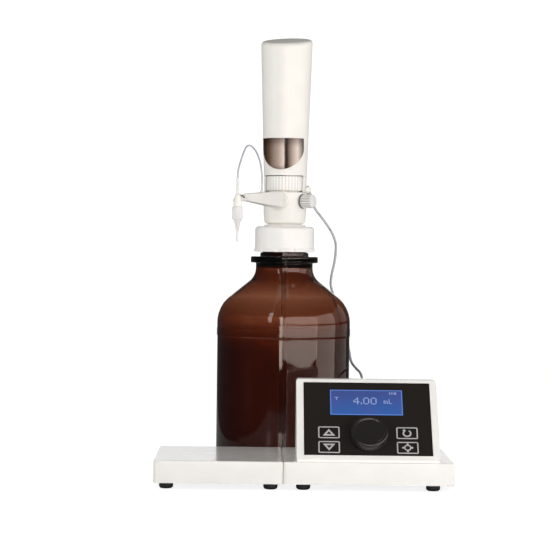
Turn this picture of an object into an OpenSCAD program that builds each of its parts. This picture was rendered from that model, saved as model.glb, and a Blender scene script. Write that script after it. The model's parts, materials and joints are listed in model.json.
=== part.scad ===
// Digital burette: a motor-driven burette head on an amber screw-neck bottle, with its
// desk console and two flat base modules, one of which is a magnetic stirrer.
// +X is right, +Y is away from the user, +Z is up. The table is z = 0.

/* [Bases] */
// Depth of both base modules, front to back
base_d = 126; // [122:1:130]
// Height of a base module's body above its feet
base_h = 19.3; // [19:0.1:21]
// Height of the rubber feet
foot_h = 5.6; // [5:0.1:6]
// Width of the stirrer module, on the left
stirrer_w = 111.2; // [108:0.2:114]
// Width of the console module, on the right
console_base_w = 147; // [146:0.2:149]

/* [Bottle] */
// Outer radius of the bottle's body
bottle_r = 62.9; // [62:0.1:64]
// Wall of the bottle
bottle_wall = 2.6; // [2:0.1:3]
// Height at which the body turns into the shoulder
bottle_body_z = 135.5; // [134:0.5:137]
// Distance of the bottle's axis from the middle, negative to the left
bottle_x = -16.6; // [-18:0.1:-15]

/* [Burette head] */
// Outer radius of the head at the coupling ring
head_r_low = 19.9; // [19.9:0.05:20.2]
// Outer radius of the head at its top
head_r_top = 24.4; // [24:0.1:25]
// Turn of the head's front to the left of straight ahead, in degrees
head_turn = 14; // [0:1:20]
// Slope of the top, falling to the front, in degrees
top_slope = 11; // [9:0.2:12]
// Wall of the head's shells
shell_wall = 2; // [1.8:0.1:2]

/* [Discharge arm] */
// Turn of the arm to the left of straight ahead, in degrees
arm_turn = 18; // [16:1:20]
// Distance from the bottle's axis to the dosing tip
arm_reach = 141; // [138:1:144]
// Turn of the recirculation valve's knob to the right of straight ahead, in degrees
valve_turn = 55; // [50:1:60]

/* [Console] */
// Width of the console
console_w = 123.8; // [122:0.2:125]
// Length of the console's sloping face
slope_l = 89; // [88:0.5:90]
// Lean of the sloping face back from upright, in degrees
slope_lean = 43; // [42:0.5:44]
// Wall of the console and of the base modules
case_wall = 2.4; // [2:0.1:2.6]
// Radius of the control knob's skirt
knob_r = 17.3; // [16:0.1:17.5]
// Height of the control knob
knob_h = 8.2; // [7:0.1:9]

/* [Hidden] */
$fn = 72;

// Colours, as the photo shows them
ivory = "#ECE6E0";
white = "#F4F2F0";
clear_white = "#E6E8EA";
amber = "#4A2412";
black = "#262220";
rubber_black = "#161616";
steel = "#B4B6B8";
blue = "#3C64C8";
green = "#1E5A3C";
grey = "#C8C8CC";

// Layout: both bases stand in a row, and the bottle stands on the table behind them
base_gap = 0.2;
bottle_gap = 1.2;
total_w = stirrer_w + base_gap + console_base_w;
total_d = base_d + bottle_gap + 2 * bottle_r;
front_y = -total_d / 2;
base_y = front_y + base_d / 2;
stirrer_x = -total_w / 2 + stirrer_w / 2;
console_base_x = total_w / 2 - console_base_w / 2;
bottle_y = total_d / 2 - bottle_r;
base_top = foot_h + base_h;

// Base modules
base_corner_r = 3;
base_edge_r = 1.4;
plate_t = 2;
plate_gap = 0.15;
foot_r = 6.2;
foot_edge_r = 2.6;
foot_inset_y = 12;
stirrer_foot_inset = 10.6;
console_foot_inset = 17.4;
post_inset = [8, 30];
post_r = 3.2;
base_screw = [1.05, 10, 2.4, 1.2];       // shank radius and length, head radius and height

// Stirrer
motor_r = 18;
motor_h = 8.4;
rotor_gap = 0.8;
rotor_r = 21;
rotor_h = 4.4;
magnet_r = 5;
magnet_arm = 13;
stirrer_shaft_r = 1.5;

// Bottle: the shoulder is an arc into a straight slope, then a fillet into the neck
shoulder_r = 34;
shoulder_a = 51.5;
slope_start = [bottle_r - shoulder_r * (1 - cos(shoulder_a)),
               bottle_body_z + shoulder_r * sin(shoulder_a)];
neck_r = 26.9;
neck_fillet = 8;
slope_end_z = slope_start[1] + (slope_start[0] - neck_r) / tan(shoulder_a);
bottle_floor = 5;
heel_r = 6;
ring_z = [193, 199];
ring_r = 31.8;
ring_edge = 1.3;
collar_r = 22.8;
collar_z = 202.6;
thread_root_r = 21;
thread_crest_r = 22.5;
mouth_r = 17.5;
rim_z = 217;
thread_pitch = 4;
thread_first_z = collar_z + 2.6;
thread_turns = 3;

// Bottle nut
nut_z = [203.4, 227.3];
nut_r = 27.8;
nut_skirt_r = 29;
nut_round = 3;
nut_bore_r = 22.9;
nut_roof_z = 223;
nut_hole_r = 16.15;
nut_disc = [19.4, 228.9];                // radius and top of the raised disc
nut_notches = 12;

// Valve block
block_r = 20.2;
block_z = [229.8, 259.5];
block_low_r = 19.2;                      // where its lower edge starts to round
block_taper_z = 240.5;
block_round = 2.8;
spigot_r = 16;
foot_flange = [20, 219, 222.6];          // radius, bottom and top
coupling_r = 14.8;
coupling_top = 267.4;
socket_r = 12.6;
socket_z = 258;
duct_r = 1.5;
side_duct_r = 1.2;
boss_r = 9;
boss_reach = 23;
arm_z = 252.4;
boss_z = 251.4;
spigot_bore = [4.55, 16];                // radius and inner end of the arm's socket
valve_z = 251;
plug_bore_r = 4;
plug_in = 7;
plug_clear = 0.05;
ball_r = 2.4;
ball_seat_r = 1.6;
ball_cage_r = 2.7;
ball_lift = sqrt(ball_r * ball_r - ball_seat_r * ball_seat_r) + 0.03;
inlet_valve_r = 6.9;
inlet_valve_z = [212, 236.5];
inlet_seat_z = 224;
outlet_x = 10;                           // distance of the outlet chamber from the axis
outlet_seat_z = 247;
outlet_cage_top = 256;
return_x = 10.5;

// Suction tube and its telescoping extension
suction_r = 2.5;
suction_bore = 1.7;
suction_z = [95, 218];
extension_r = 3.3;
extension_bore = 2.56;
extension_z = [8, 110];

// Recirculation knob
valve_knob_r = 6.5;
valve_knob_x = [20.4, 32.1];
valve_flutes = 16;

// Coupling ring
ring_body_z = [260.9, 274.6];
ring_out_r = 18;
ring_flutes = 36;
flute_depth = 0.45;

// Head shells: a slowly widening round body, cut by a sloping plane at the top
head_z = [262, 402];
head_skirt_z = 260;
front_bottom_z = 275.2;
cap_t = 4;
cap_edge = [2.4, 1.3];                   // height of the rounded edge, and of its lower half
top_z = 402.6;
split_y = -5;                            // the shells part in front of the axis
skirt_bore_r = 18.4;
window_half_w = 19.6;
window_low_z = 280.6;
window_top_z = 310;
rim_w = 1;
rim_h = 0.35;
window_t = 1.4;
window_sink = 0.4;
window_gap = 0.12;
shell_screw_x = 15.9;
shell_screw_z = [283.5, 391.5];
shell_screw = [1.2, 13, 2, 1.4];         // shank radius and length, head radius and height
shell_boss_r = 3.1;

// Metering syringe and its drive
glass_r = [11, 12.4];
glass_z = [socket_z, 318];
holder_z = [267.9, 280.2];
holder_flange = [18, 275.6, 278];
piston_r = 10.6;
piston_z = [276, 284];
seal_r = [9.5, 10.95];
seal_z = [278.5, 280.5];
rod_r = [3.3, 4.5];
nut_bar = [33, 10, 6];
nut_disc_r = 8;
drive_nut_z = 333;
screw_r = 2.9;
screw_bore = 3;
screw_z = 302;
guide_x = 14;
guide_r = 1.5;
frame_low = [19.3, 318, 321.5];           // radius, bottom and top of the lower plate
frame_top = [20.5, 356.5, 360];
frame_post = [11, -12.6, 2.4];
motor_box = [28, 28, 28];
board = [15, 1.6, 66];
board_y = 14.9;
board_z = 284;
board_slot = [8.3, 14.4];

// Discharge arm, tip and the fittings of the thin tube
arm_root = [7.65, 6.8];                  // half height and half width at the root
arm_end = [3.1, 2.7];
arm_end_x = 122;
arm_spigot_r = 4.5;
tube_x = 71;                             // where the thin tube leaves the arm
fitting_r = 1.88;
fitting_z = [256, 260];
ferrule_r = 1.35;
ferrule_z = [243.9, 269.5];
ferrule_bore = 0.6;
holder_bar = [2.4, 249.6, 254.2];        // half width, bottom and top
sleeve_r = 3.75;
tip_body = [4.65, 232];
tip_cone = [3.1, 1.3, 222.7];
needle = [1.05, 213];
tip_bore = 0.5;

// Cable gland: a tapered boot from the head's rear shell to where the cable leaves it
gland_from = [4.6, 73.6, 260];
gland_to = [11, 76, 247];
gland_r = [3.4, 1.7];
lug_r = 4.6;
lug_l = 5;

// Thin tube, in the arm's own plane: distance from the axis and height
delivery_r = 0.85;
delivery_route = [
    [71, 260], [71, 266], [72, 273], [74.5, 280], [79.5, 287], [87.5, 293], [97, 297],
    [107, 299], [116, 298], [124, 293.5], [131, 287], [137, 280], [140.5, 274.5], [141, 269.5]
];

// Signal cable, from the gland round behind the bottle to the console's rear
cable_r = 1.2;
cable_route = [
    [11, 76, 247], [14, 77.5, 242], [19, 79.5, 236], [27, 83, 225], [31.5, 86, 216],
    [33, 88, 208], [32, 89, 195], [29.5, 89, 183], [28.5, 90, 173], [30.5, 92, 165],
    [34, 95.5, 157], [38, 99, 148], [41, 101, 138], [43.5, 100, 128], [45.5, 95, 118],
    [47, 86, 108], [48.5, 75, 99.5], [52, 63, 94.5], [55.5, 50, 91], [57, 38, 86.5],
    [57.5, 28, 79], [57.5, 19, 69], [57.5, 10, 58], [57.5, 0, 49], [57.5, -10, 44],
    [57.5, -17, 42.2], [57.5, -22, 42]
];
cord_sides = 8;

// Console: its side outline, and the frame of its sloping face
console_x = console_base_x - 0.2;
console_y = front_y + 2;
lip_z = base_top + 2;
slope_up = [sin(slope_lean), cos(slope_lean)];
slope_out = [-cos(slope_lean), sin(slope_lean)];
slope_top = [console_y, lip_z] + slope_l * slope_up;
console_rear_y = -44;
rear_chamfer = 4;
console_corner_r = 2.5;
panel = [111, 80.2, 1.6];
panel_v = 5.2;
panel_ledge = 1;
panel_gap = 0.2;
display = [63.8, 28.2];
display_at = [-0.5, 49.2];
display_bezel = 0.25;
module_size = [74, 37, 5.9];
module_drop = 7.6;
key = [18.8, 12.9];
key_x = 33.9;
key_v = [13.5, 29.4];
key_corner = 1.2;
key_proud = 0.4;
key_t = 2.8;
key_gap = 0.2;
key_lip = [0.6, 0.7];                    // how far the key's lip stands out, and its height
board_w = -9.2;
console_pcb = [100, 68, 1.6];
pcb_v = 12;
stud_at = [47.5, 15, 76.5];
stud_r = 2.4;
knob_at = [1, 25.6];
knob_face_r = 15.2;
knob_lift = 0.4;
knob_dish = 0.7;
knob_flutes = 40;
shaft_r = 3;
shaft_w = [-2, 6.4];
bushing_r = 3.8;
encoder_box = [12.4, 12.4, 5.4];
switch_box = [6, 6, 3.6];
switch_pin = [1.6, 1];

// Rear sockets
socket_at = [57.5, 42];
signal_socket_r = 4.8;
socket_flange = [6.2, 1];
socket_depth = 9;
power_dx = 27;
power_socket_r = 5.2;
power_bore_r = 3.1;
plug_body = [4.4, 13];
plug_boot = [3.2, 1.7];
corner_screw = [63.6, 4.6, 1.2, 0.35];

// --- shared shapes ---

// A flat rectangle with rounded corners, centred
module rounded(w, d, r) {
    square([w - 2 * r, d], center = true);
    square([w, d - 2 * r], center = true);
    for (sx = [-1, 1], sy = [-1, 1])
        translate([sx * (w / 2 - r), sy * (d / 2 - r)]) circle(r);
}

// A rectangle standing on its base line, with its two upper corners rounded
module arch_top(w, h, r) {
    translate([-w / 2, 0]) square([w, h - r]);
    translate([-w / 2 + r, 0]) square([w - 2 * r, h]);
    for (sx = [-1, 1])
        translate([sx * (w / 2 - r), h - r]) circle(r);
}

// A block with rounded upright corners and rounded top edges
module soft_block(w, d, h, corner, edge) {
    intersection() {
        linear_extrude(h) rounded(w, d, corner);
        rotate([90, 0, 0]) linear_extrude(d + 2, center = true) arch_top(w, h, edge);
        rotate([90, 0, 90]) linear_extrude(w + 2, center = true) arch_top(d, h, edge);
    }
}

// The outline of a fluted grip: n shallow valleys round a circle
function flute_ring(n, r, depth) = [
    for (i = [0 : n - 1], k = [0 : 3])
        let (a = 360 / n * (i + [0, 0.16, 0.5, 0.66][k]), q = k < 2 ? r - depth : r)
            [q * cos(a), q * sin(a)]
];

function arc(centre, r, from, to, n) = [
    for (i = [0 : n])
        let (a = from + (to - from) * i / n)
            centre + r * [cos(a), sin(a)]
];

// A tube or rod along z between two heights
module ring(r_out, r_in, z) {
    translate([0, 0, z[0]]) difference() {
        cylinder(r = r_out, h = z[1] - z[0]);
        translate([0, 0, -1]) cylinder(r = r_in, h = z[1] - z[0] + 2);
    }
}

module rod(r, z) {
    translate([0, 0, z[0]]) cylinder(r = r, h = z[1] - z[0]);
}

// A screw along +z from its head's seat at the origin: shank, then head below it
module screw(s) {
    cylinder(r = s[0], h = s[1]);
    translate([0, 0, -s[3]]) difference() {
        cylinder(r = s[2], h = s[3]);
        translate([-s[2], -0.3, -0.1]) cube([2 * s[2], 0.6, s[3] * 0.5]);
    }
}

// --- frames ---

module at_bottle() {
    translate([bottle_x, bottle_y, 0]) children();
}

// The head's own frame: its front looks along -y
module at_head() {
    at_bottle() rotate([0, 0, -head_turn]) children();
}

// The arm's own frame: the arm points along -y
module at_arm() {
    at_bottle() rotate([0, 0, -arm_turn]) children();
}

// A frame whose +z runs out from the axis, at a height and a turn to the right
module outward(turn, z) {
    translate([0, 0, z]) rotate([0, 0, turn]) rotate([90, 0, 0]) children();
}

// The console's sloping face: x to the right, y up the slope, z out of the face
module at_slope() {
    translate([console_x, console_y, lip_z]) rotate([90 - slope_lean, 0, 0]) children();
}

// +z from one point to another
module along(from, to) {
    d = to - from;
    translate(from) rotate([0, acos(d[2] / norm(d)), atan2(d[1], d[0])]) children();
}

// --- cords: a tube swept along a route ---

function smooth_point(p, i, t) =
    let (n = len(p) - 1,
         a = p[max(i - 1, 0)], b = p[i], c = p[i + 1], d = p[min(i + 2, n)])
        0.5 * (2 * b + (c - a) * t + (2 * a - 5 * b + 4 * c - d) * t * t
               + (3 * b - a - 3 * c + d) * t * t * t);

// Every point of the route, and one more halfway along each stretch
function smooth_route(p) = [
    for (i = [0 : len(p) - 2], k = [0, 1]) smooth_point(p, i, k / 2),
    p[len(p) - 1]
];

function unit(v) = v / norm(v);

function tangent(p, i) = unit(p[min(i + 1, len(p) - 1)] - p[max(i - 1, 0)]);

function cord_ring(p, i, r) =
    let (t = tangent(p, i), u = unit(cross(t, [1, 0, 0])), v = cross(t, u))
        [for (k = [0 : cord_sides - 1])
            let (a = 360 * k / cord_sides) p[i] + r * (cos(a) * u + sin(a) * v)];

module cord(route, r) {
    p = smooth_route(route);
    n = len(p);
    s = cord_sides;
    points = [for (i = [0 : n - 1]) each cord_ring(p, i, r)];
    sides = [for (i = [0 : n - 2], k = [0 : s - 1])
        let (a = i * s + k, b = i * s + (k + 1) % s) each [[a, b, a + s], [b, b + s, a + s]]];
    first = [for (k = [s - 1 : -1 : 0]) k];
    last = [for (k = [0 : s - 1]) (n - 1) * s + k];
    polyhedron(points, concat(sides, [first, last]));
}

// --- bottle ---

function bottle_outline(inset, floor_z) = concat(
    [[0, floor_z]],
    arc([bottle_r - inset - heel_r, floor_z + heel_r], heel_r, -90, 0, 6),
    arc([bottle_r - shoulder_r, bottle_body_z], shoulder_r - inset, 0, shoulder_a, 10),
    arc([neck_r - inset + (neck_fillet + 2 * inset),
         slope_end_z + (neck_fillet + 2 * inset) * tan(shoulder_a / 2)
             - inset * tan(shoulder_a / 2)],
        neck_fillet + 2 * inset, 180 + shoulder_a, 180, 6)
);

module amber_bottle() {
    color(amber) at_bottle() difference() {
        union() {
            rotate_extrude() polygon(concat(
                bottle_outline(0, 0),
                [[neck_r, ring_z[0]]],
                arc([ring_r - ring_edge, ring_z[0] + ring_edge], ring_edge, -90, 0, 3),
                arc([ring_r - ring_edge, ring_z[1] - ring_edge], ring_edge, 0, 90, 3),
                [[collar_r, ring_z[1]], [collar_r, collar_z], [thread_root_r, collar_z],
                 [thread_root_r, rim_z], [0, rim_z]]));
            rotate_extrude() for (i = [0 : thread_turns - 1])
                translate([thread_root_r, thread_first_z + i * thread_pitch])
                    polygon([[-1, -1.3], [0, -1.3], [thread_crest_r - thread_root_r, -0.6],
                             [thread_crest_r - thread_root_r, 0.6], [0, 1.3], [-1, 1.3]]);
        }
        rotate_extrude() polygon(concat(
            bottle_outline(bottle_wall, bottle_floor),
            [[neck_r - bottle_wall, ring_z[0] - 3], [mouth_r, ring_z[0] + 2],
             [mouth_r, rim_z + 1], [0, rim_z + 1]]));
    }
}

module bottle_nut() {
    color(white) at_bottle() difference() {
        union() {
            rotate_extrude() polygon([
                [nut_bore_r, nut_z[0]], [nut_skirt_r, nut_z[0]], [nut_skirt_r, nut_z[0] + 1.8],
                [nut_r + 0.2, nut_z[0] + 3.4],
                each arc([nut_r - nut_round, nut_z[1] - nut_round], nut_round, 0, 90, 5),
                [nut_disc[0], nut_z[1]], [nut_disc[0], nut_disc[1] - 0.4],
                [nut_disc[0] - 0.6, nut_disc[1]], [nut_hole_r, nut_disc[1]],
                [nut_hole_r, nut_roof_z], [nut_bore_r, nut_roof_z]]);
            rotate_extrude() for (i = [0 : thread_turns - 1])
                translate([nut_bore_r, thread_first_z + (i + 0.5) * thread_pitch])
                    polygon([[0.5, -1], [0, -1], [-1.2, -0.5], [-1.2, 0.5], [0, 1], [0.5, 1]]);
        }
        for (i = [0 : nut_notches - 1])
            rotate([0, 0, 360 / nut_notches * (i + 0.5)])
                translate([nut_r + 0.3, -1.5, nut_z[0] - 1]) cube([3, 3, 5]);
    }
}

module neck_seal() {
    color(clear_white) at_bottle()
        ring(thread_root_r - 0.2, mouth_r + 0.2, [rim_z, foot_flange[1]]);
}

module suction_tube() {
    color(clear_white) at_bottle() ring(suction_r, suction_bore, suction_z);
}

module suction_extension() {
    color(clear_white) at_bottle() ring(extension_r, extension_bore, extension_z);
}

// --- valve block ---

module valve_block() {
    color(ivory) at_bottle() difference() {
        union() {
            rotate_extrude() polygon(concat(
                [[0, foot_flange[1]], [foot_flange[0], foot_flange[1]],
                 [foot_flange[0], foot_flange[2]], [spigot_r, foot_flange[2]],
                 [spigot_r, block_z[0]]],
                arc([block_low_r - block_round, block_z[0] + block_round], block_round,
                    -90, 0, 5),
                [[block_r, block_taper_z], [block_r, block_z[1]], [coupling_r, block_z[1]],
                 [coupling_r, coupling_top], [0, coupling_top]]));
            outward(-arm_turn, boss_z) cylinder(r = boss_r, h = boss_reach);
        }
        rod(socket_r, [socket_z, coupling_top + 1]);
        rod(duct_r, [inlet_valve_z[1], socket_z + 1]);
        rod(inlet_valve_r + 0.02, [foot_flange[1] - 1, inlet_valve_z[1]]);
        // outlet chamber, its seat, and the ducts into and out of it
        rotate([0, 0, -arm_turn]) translate([0, -outlet_x, 0]) {
            rod(ball_cage_r, [outlet_seat_z, outlet_cage_top]);
            rod(ball_seat_r, [outlet_seat_z - 4, outlet_seat_z + 1]);
        }
        outward(-arm_turn, outlet_seat_z - 3) cylinder(r = side_duct_r, h = outlet_x);
        outward(-arm_turn, arm_z) translate([0, 0, outlet_x])
            cylinder(r = side_duct_r, h = boss_reach);
        outward(-arm_turn, arm_z) translate([0, 0, spigot_bore[1]])
            cylinder(r = spigot_bore[0], h = boss_reach);
        // recirculation plug's bore, its feed and its return to the bottle
        outward(valve_turn, valve_z) cylinder(r = side_duct_r, h = plug_in + 1);
        outward(valve_turn, valve_z) translate([0, 0, plug_in])
            cylinder(r = plug_bore_r, h = block_r);
        rotate([0, 0, valve_turn]) translate([0, -return_x, 0])
            rod(side_duct_r, [foot_flange[1] - 1, valve_z]);
    }
}

module inlet_valve() {
    color(clear_white) at_bottle() difference() {
        rod(inlet_valve_r, inlet_valve_z);
        rod(ball_cage_r, [inlet_seat_z, inlet_valve_z[1] + 1]);
        rod(ball_seat_r, [inlet_valve_z[0] - 1, inlet_seat_z + 1]);
        rod(suction_r + 0.02, [inlet_valve_z[0] - 1, suction_z[1]]);
    }
}

module inlet_ball() {
    color(clear_white) at_bottle() translate([0, 0, inlet_seat_z + ball_lift]) sphere(ball_r);
}

module outlet_ball() {
    color(clear_white) at_arm() translate([0, -outlet_x, outlet_seat_z + ball_lift])
        sphere(ball_r);
}

module valve_plug() {
    color(clear_white) at_bottle() outward(valve_turn, valve_z) difference() {
        translate([0, 0, plug_in + 0.2])
            cylinder(r = plug_bore_r - plug_clear, h = valve_knob_x[0] - plug_in - 0.2);
        translate([0, 0, plug_in - 1]) cylinder(r = 1, h = return_x - plug_in + 1);
        translate([0, 0, return_x]) rotate([0, 90, 0]) cylinder(r = 1, h = 2 * plug_bore_r);
    }
}

module valve_knob() {
    color(white) at_bottle() outward(valve_turn, valve_z) translate([0, 0, valve_knob_x[0]])
        intersection() {
            linear_extrude(valve_knob_x[1] - valve_knob_x[0])
                polygon(flute_ring(valve_flutes, valve_knob_r, flute_depth));
            rotate_extrude() polygon([
                [0, 0], [valve_knob_r - 0.8, 0], [valve_knob_r, 0.8],
                [valve_knob_r, valve_knob_x[1] - valve_knob_x[0] - 1.2],
                [valve_knob_r - 1.2, valve_knob_x[1] - valve_knob_x[0]],
                [0, valve_knob_x[1] - valve_knob_x[0]]]);
        }
}

// --- discharge arm and tip ---

module discharge_arm() {
    x0 = boss_reach;
    x1 = arm_end_x;
    color(ivory) at_arm() difference() {
        union() {
            intersection() {
                rotate([90, 0, -90]) linear_extrude(40, center = true) polygon([
                    [x0, arm_z - arm_root[0]], [x1, arm_z - arm_end[0]],
                    [x1, arm_z + arm_end[0]], [x0, arm_z + arm_root[0]]]);
                translate([0, 0, arm_z - 20]) linear_extrude(40) polygon([
                    [-arm_root[1], -x0], [-arm_end[1], -x1],
                    [arm_end[1], -x1], [arm_root[1], -x0]]);
            }
            outward(0, arm_z) translate([0, 0, spigot_bore[1]])
                cylinder(r = arm_spigot_r, h = x0 - spigot_bore[1] + 1);
        }
        outward(0, arm_z) translate([0, 0, spigot_bore[1] - 1])
            cylinder(r = side_duct_r, h = tube_x - spigot_bore[1] + 1);
        translate([0, -tube_x, 0]) {
            rod(side_duct_r, [arm_z, fitting_z[0] + 1]);
            rod(fitting_r + 0.02, [fitting_z[0], fitting_z[1] + 1]);
        }
    }
}

module tip_holder() {
    color(ivory) at_arm() difference() {
        union() {
            translate([-holder_bar[0], -arm_reach, holder_bar[1]])
                cube([2 * holder_bar[0], arm_reach - arm_end_x, holder_bar[2] - holder_bar[1]]);
            translate([0, -arm_reach, 0]) rod(sleeve_r, [ferrule_z[0], holder_bar[2]]);
        }
        translate([0, -arm_reach, 0])
            rod(ferrule_r + 0.02, [ferrule_z[0] - 1, holder_bar[2] + 1]);
    }
}

module dosing_tip() {
    color(white) at_arm() translate([0, -arm_reach, 0]) difference() {
        rotate_extrude() polygon([
            [0, needle[1]], [needle[0], needle[1]], [needle[0], tip_cone[2]],
            [tip_cone[1], tip_cone[2]], [tip_cone[0], tip_body[1]],
            [tip_body[0] - 0.6, tip_body[1]], [tip_body[0], tip_body[1] + 1],
            [tip_body[0], ferrule_z[0] - 0.8], [tip_body[0] - 0.8, ferrule_z[0]],
            [0, ferrule_z[0]]]);
        rod(tip_bore, [needle[1] - 1, ferrule_z[0] + 1]);
    }
}

module tube_fittings() {
    color(clear_white) at_arm() {
        translate([0, -tube_x, 0]) ring(fitting_r, delivery_r - 0.2, fitting_z);
        translate([0, -arm_reach, 0]) ring(ferrule_r, ferrule_bore, ferrule_z);
    }
}

module delivery_tube() {
    color(grey) at_arm() cord([for (p = delivery_route) [0, -p[0], p[1]]], delivery_r);
}

// --- head shells ---

function head_radius(z) =
    head_r_low + (head_r_top - head_r_low) * (z - head_z[0]) / (head_z[1] - head_z[0]);

module head_cone(inset, z) {
    translate([0, 0, z[0]]) rotate([0, 0, 90]) cylinder(
        r1 = head_radius(z[0]) - inset, r2 = head_radius(z[1]) - inset, h = z[1] - z[0]);
}

// Frame of the sloping top: z = 0 is the top plane, and -y falls to the front
module at_top() {
    translate([0, 0, top_z]) rotate([top_slope, 0, 0]) children();
}

// The shells' body below the top cap
module head_shell(from_z) {
    difference() {
        head_cone(0, [from_z, top_z + 12]);
        head_cone(shell_wall, [from_z - 1, top_z + 13]);
        at_top() translate([-40, -40, -cap_t]) cube([80, 80, 40]);
    }
}

module front_half() {
    translate([-40, split_y - 40, 200]) cube([80, 40, 250]);
}

// The window's outline on the front: straight sides down into a half circle
module window_outline(grow) {
    r = window_half_w;
    translate([0, window_low_z + r]) intersection() {
        union() {
            circle(r + grow);
            translate([-r - grow, 0]) square([2 * (r + grow), r]);
        }
        translate([-r - grow, -2 * r])
            square([2 * (r + grow), 2 * r + window_top_z - window_low_z - r + grow]);
    }
}

module through_front(grow) {
    translate([0, split_y, 0]) rotate([90, 0, 0]) linear_extrude(30) window_outline(grow);
}

module shell_bosses(hole) {
    for (sx = [-1, 1], z = shell_screw_z)
        translate([sx * shell_screw_x, split_y, z]) rotate([hole[0], 0, 0])
            cylinder(r = hole[1], h = hole[2]);
}

module front_housing() {
    color(ivory) at_head() difference() {
        intersection() {
            front_half();
            union() {
                head_shell(front_bottom_z);
                intersection() {
                    difference() {
                        head_cone(-rim_h, [front_bottom_z, window_top_z + 8]);
                        head_cone(0.5, [front_bottom_z - 1, window_top_z + 9]);
                    }
                    through_front(rim_w);
                }
                intersection() {
                    head_cone(0.5, [front_bottom_z, top_z - 8]);
                    shell_bosses([90, shell_boss_r, 9]);
                }
            }
        }
        through_front(0);
        shell_bosses([90, shell_screw[0] + 0.02, 4.6]);
    }
}

module rear_housing() {
    color(ivory) difference() {
        union() {
            difference() {
                union() {
                    at_head() head_cone(0, [head_skirt_z, top_z + 12]);
                    along(gland_from, gland_to) translate([0, 0, -lug_l])
                        cylinder(r = lug_r, h = lug_l);
                }
                at_head() {
                    rod(block_r + 0.35, [head_skirt_z - 20, head_skirt_z]);
                    rod(skirt_bore_r, [head_skirt_z - 1, front_bottom_z]);
                    head_cone(shell_wall, [front_bottom_z, top_z + 13]);
                    at_top() translate([-40, -40, -cap_t]) cube([80, 80, 40]);
                    translate([-40, split_y - 60, 200]) cube([80, 60, 250]);
                }
            }
            at_head() intersection() {
                head_cone(0.5, [front_bottom_z, top_z - 8]);
                shell_bosses([-90, shell_boss_r, 30]);
            }
        }
        at_head() {
            shell_bosses([-90, shell_screw[0] + 0.1, 40]);
            for (sx = [-1, 1], z = shell_screw_z)
                translate([sx * shell_screw_x, split_y + 9, z]) rotate([-90, 0, 0])
                    cylinder(r = shell_screw[2] + 0.2, h = 30);
        }
    }
}

module housing_screws() {
    color(steel) at_head() for (sx = [-1, 1], z = shell_screw_z)
        translate([sx * shell_screw_x, split_y + 9, z]) rotate([90, 0, 0]) screw(shell_screw);
}

module top_cap() {
    color(ivory) at_head() intersection() {
        head_cone(0, [top_z - 14, top_z + 12]);
        at_top() translate([0, 0, -cap_t]) union() {
            cylinder(r = 40, h = cap_t - cap_edge[0]);
            translate([0, 0, cap_t - cap_edge[0]]) rotate_extrude() polygon([
                [0, 0], [head_r_top + 0.5, 0], [head_r_top - 0.4, cap_edge[1]],
                [head_r_top - 2.6, cap_edge[0]], [0, cap_edge[0]]]);
        }
    }
}

module window() {
    color("#5A4A44") at_head() intersection() {
        difference() {
            head_cone(window_sink, [front_bottom_z, window_top_z + 5]);
            head_cone(window_sink + window_t, [front_bottom_z - 1, window_top_z + 6]);
        }
        through_front(-window_gap);
    }
}

// --- metering syringe and drive ---

module coupling_ring() {
    color(white) at_bottle() difference() {
        intersection() {
            rod(ring_out_r, ring_body_z);
            translate([0, 0, ring_body_z[0]]) linear_extrude(ring_body_z[1] - ring_body_z[0])
                polygon(flute_ring(ring_flutes, ring_out_r, flute_depth));
        }
        rod(coupling_r + 0.1, [ring_body_z[0] - 1, ring_body_z[1] + 1]);
    }
}

module glass_cylinder() {
    color(clear_white) at_bottle() ring(glass_r[1], glass_r[0], glass_z);
}

module cylinder_holder() {
    color(grey) at_bottle() difference() {
        union() {
            rod(coupling_r, holder_z);
            rod(holder_flange[0], [holder_flange[1], holder_flange[2]]);
        }
        rod(glass_r[1] + 0.05, [holder_z[0] - 1, holder_z[1] + 1]);
    }
}

module piston() {
    color(clear_white) at_bottle() difference() {
        rod(piston_r, piston_z);
        ring(piston_r + 1, seal_r[0], seal_z);
    }
}

module piston_seal() {
    color(rubber_black) at_bottle() ring(seal_r[1], seal_r[0], seal_z);
}

module piston_rod() {
    color(steel) at_bottle() ring(rod_r[1], rod_r[0], [piston_z[1], drive_nut_z]);
}

module drive_nut() {
    color("#D8C068") at_head() translate([0, 0, drive_nut_z]) difference() {
        union() {
            linear_extrude(nut_bar[2]) rounded(nut_bar[0], nut_bar[1], 2);
            cylinder(r = nut_disc_r, h = nut_bar[2]);
        }
        translate([0, 0, -1]) cylinder(r = screw_bore, h = nut_bar[2] + 2);
        for (sx = [-1, 1])
            translate([sx * guide_x, 0, -1]) cylinder(r = guide_r + 0.08, h = nut_bar[2] + 2);
    }
}

module lead_screw() {
    color(steel) at_bottle() rod(screw_r, [screw_z, frame_top[2]]);
}

module drive_motor() {
    color(black) at_head() translate([0, 0, frame_top[2]])
        linear_extrude(motor_box[2]) rounded(motor_box[0], motor_box[1], 3);
}

module drive_frame() {
    color(grey) at_head() difference() {
        union() {
            for (p = [frame_low, frame_top]) rod(p[0], [p[1], p[2]]);
            for (sx = [-1, 1]) translate([sx * frame_post[0], frame_post[1], 0])
                rod(frame_post[2], [frame_low[1] + 1, frame_top[1] + 1]);
        }
        rod(rod_r[1] + 0.5, [frame_low[1] - 1, frame_top[1] - 1]);
        rod(screw_r + 0.5, [frame_top[1] - 2, frame_top[2] + 1]);
        translate([-board_slot[0], board_slot[1], frame_low[1] - 1])
            cube([2 * board_slot[0], 20, frame_low[2] - frame_low[1] + 2]);
    }
}

module guide_rods() {
    color(steel) at_head() for (sx = [-1, 1])
        translate([sx * guide_x, 0, 0]) rod(guide_r, [frame_low[2], frame_top[1]]);
}

module head_board() {
    color(green) at_head() translate([-board[0] / 2, board_y, board_z]) {
        cube(board);
        translate([3, -2.4, 46]) cube([9, 2.4, 6]);
    }
}

// --- cable ---

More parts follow.
